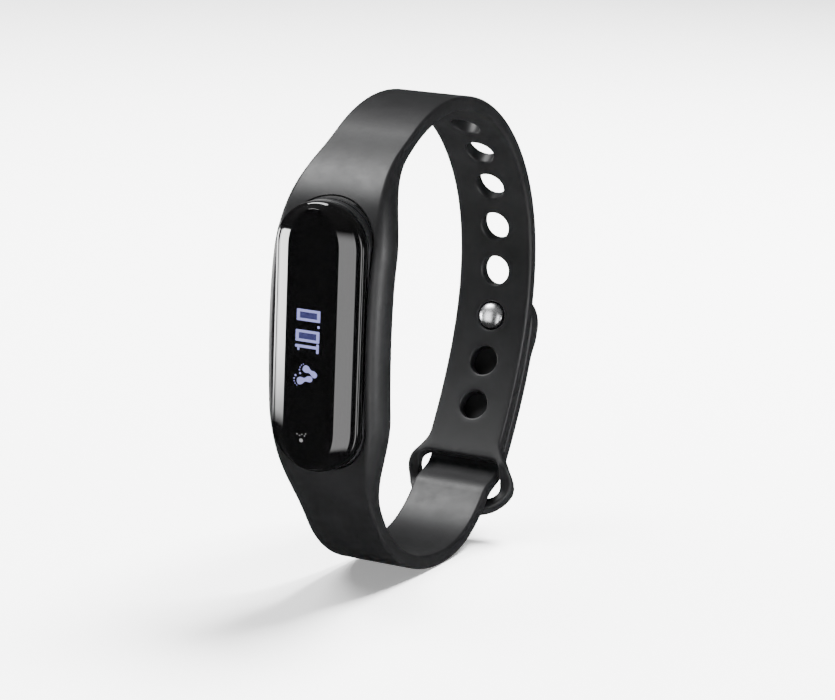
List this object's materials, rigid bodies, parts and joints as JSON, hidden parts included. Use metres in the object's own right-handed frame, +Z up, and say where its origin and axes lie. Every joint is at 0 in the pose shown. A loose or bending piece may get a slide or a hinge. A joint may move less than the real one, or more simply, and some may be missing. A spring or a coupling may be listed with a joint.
{
  "type": "fitness tracker band",
  "caption": "Slim glossy fitness tracker held in a soft black silicone wristband with adjusting holes, steel stud and keeper loop.",
  "frame": {"origin": "middle of the closed band's footprint, on the surface that its lower bend stands on", "axes": "+Z up along the tracker's long side, -Y out of the tracker's face, X across the band"},
  "size_m": [0.0204, 0.07, 0.077],
  "materials": {
    "silicone": "satin moulded silicone",
    "lens_black": "high-gloss piano black",
    "case_black": "fine matt moulded",
    "stud_steel": "polished stainless",
    "gold": "gold plated",
    "board": "solder mask green",
    "chip": "moulded chip package",
    "ceramic": "fired ceramic",
    "foil": "laminated pouch foil and tinned cans",
    "flex": "amber polyimide film",
    "foam": "foam adhesive",
    "wire_red": "wire insulation",
    "wire_black": "wire insulation",
    "copper": "bare copper",
    "tungsten": "sintered tungsten",
    "display": "display glass with a lit monochrome matrix",
    "gasket": "adhesive foam and sealing rubber"
  },
  "bodies": {
    "band_pod": {"pod_frame": "silicone"},
    "upper_strap_body": {"upper_strap": "silicone"},
    "lower_strap_body": {"lower_strap": "silicone"},
    "tail_body": {"strap_tail": "silicone"},
    "tip_body": {"tail_tip": "silicone", "stud_pin": "stud_steel", "stud_cap": "stud_steel"},
    "rotor_body": {"motor_rotor": "tungsten"},
    "tracker_body": {"front_lens": "lens_black", "lens_gasket": "gasket", "mid_frame": "case_black", "case_seal": "gasket", "rear_cover": "case_black", "display_panel": "display", "display_flex": "flex", "touch_electrode": "copper", "touch_spring": "stud_steel", "main_board": "board", "processor_chip": "chip", "motion_sensor": "chip", "flash_chip": "chip", "clock_crystal": "foil", "antenna": "ceramic", "battery": "foil", "battery_pad": "foam", "battery_lead_positive": "wire_red", "battery_lead_negative": "wire_black", "charge_contact_left": "gold", "charge_contact_right": "gold", "motor_can": "foil", "motor_base": "foil", "motor_coil": "copper", "motor_shaft": "stud_steel"}
  },
  "joints": [
    {"name": "band_opens", "type": "hinge", "parent": "band_pod", "child": "upper_strap_body", "pos_m": [0, -0.02146, 0.06997], "axis": [1, 0, 0], "range_deg": [0, 36], "deforming": ["upper_strap"]},
    {"name": "lower_strap_swings", "type": "hinge", "parent": "band_pod", "child": "lower_strap_body", "pos_m": [0, -0.02598, 0.0152], "axis": [-1, 0, 0], "range_deg": [0, 21.6]},
    {"name": "tail_peel", "type": "hinge", "parent": "lower_strap_body", "child": "tail_body", "pos_m": [0, 0.02373, 0.01254], "axis": [-1, 0, 0], "range_deg": [0, 45]},
    {"name": "tip_curl", "type": "hinge", "parent": "tail_body", "child": "tip_body", "pos_m": [0, 0.02979, 0.02415], "axis": [-1, 0, 0], "range_deg": [0, 36]},
    {"name": "tracker_release", "type": "slide", "parent": "band_pod", "child": "tracker_body", "axis": [0, -1, 0], "range_m": [0, 0.014]},
    {"name": "motor_spin", "type": "hinge", "parent": "tracker_body", "child": "rotor_body", "pos_m": [0, -0.03147, 0.0581], "axis": [0, -1, 0], "continuous": true}
  ],
  "couplings": [
    {"joint": "lower_strap_swings", "follows": "band_opens", "ratio": 0.6},
    {"joint": "tip_curl", "follows": "tail_peel", "ratio": 0.8}
  ]
}
